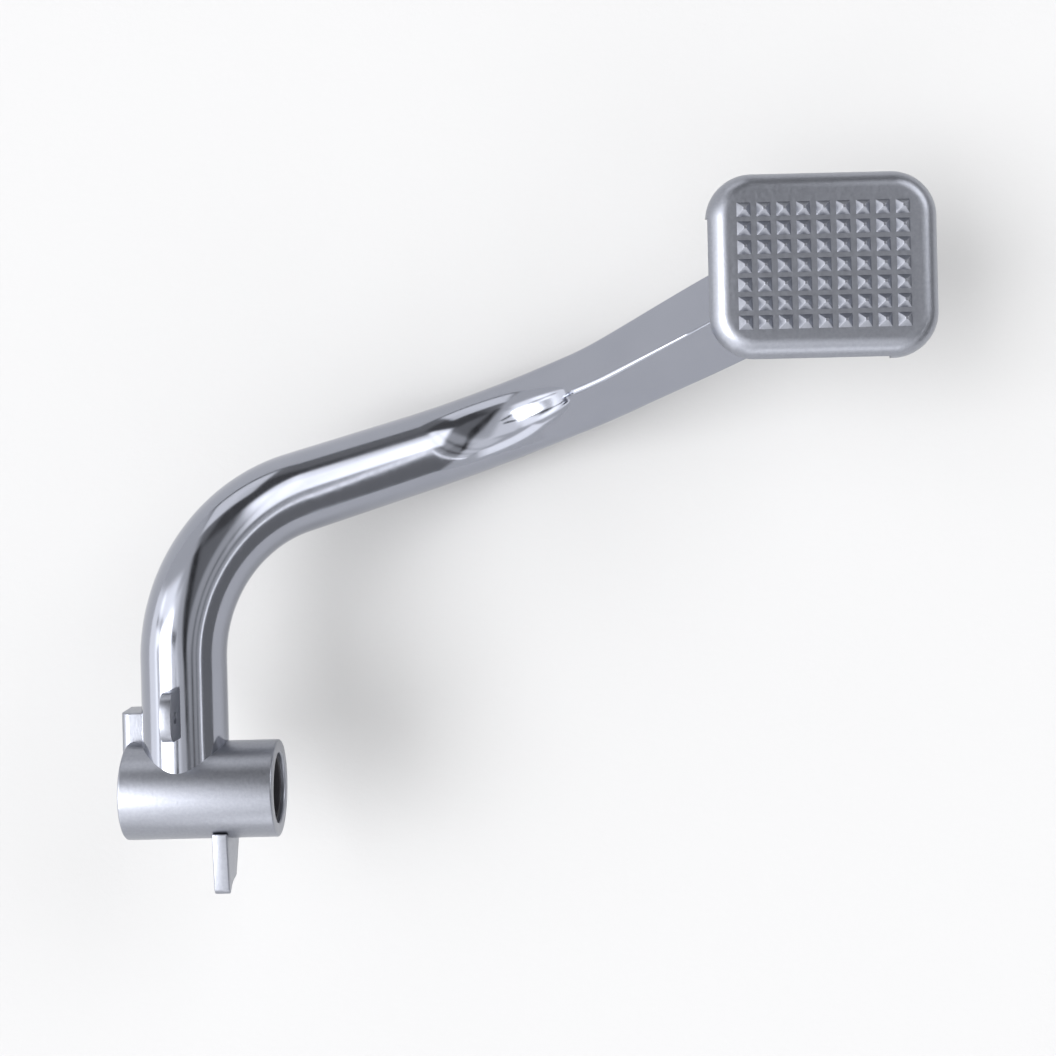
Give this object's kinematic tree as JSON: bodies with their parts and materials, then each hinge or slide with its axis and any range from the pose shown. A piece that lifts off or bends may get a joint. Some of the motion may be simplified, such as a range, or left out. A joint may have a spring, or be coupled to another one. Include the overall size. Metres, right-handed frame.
{
  "type": "motorcycle foot control lever",
  "caption": "bent chrome tube lever with a pivot boss, a stop lug, a rod lug, a spring ear and a rectangular treaded foot pad",
  "frame": {"origin": "middle of the pivot axis, at half the length of the pivot boss", "axes": "+X along the pivot axis towards the boss face on the pad's side, +Y from the pivot towards the pad, +Z out of the tread of the foot pad"},
  "size_m": [0.214, 0.181, 0.0728],
  "materials": {
    "arm_chrome": "mirror chrome plate over a bent steel tube",
    "satin_steel": "satin steel with a fine grain",
    "weld_steel": "satin weld bead",
    "dark_bush": "dark matte plain bush"
  },
  "bodies": {
    "root": {"pivot_boss": "satin_steel", "bush_left": "dark_bush", "bush_right": "dark_bush", "arm_tube": "arm_chrome", "arm_end_cap": "satin_steel", "foot_pad": "satin_steel", "pad_weld": "weld_steel", "stop_lug": "satin_steel", "rod_lug": "satin_steel", "spring_ear": "satin_steel"}
  },
  "joints": []
}
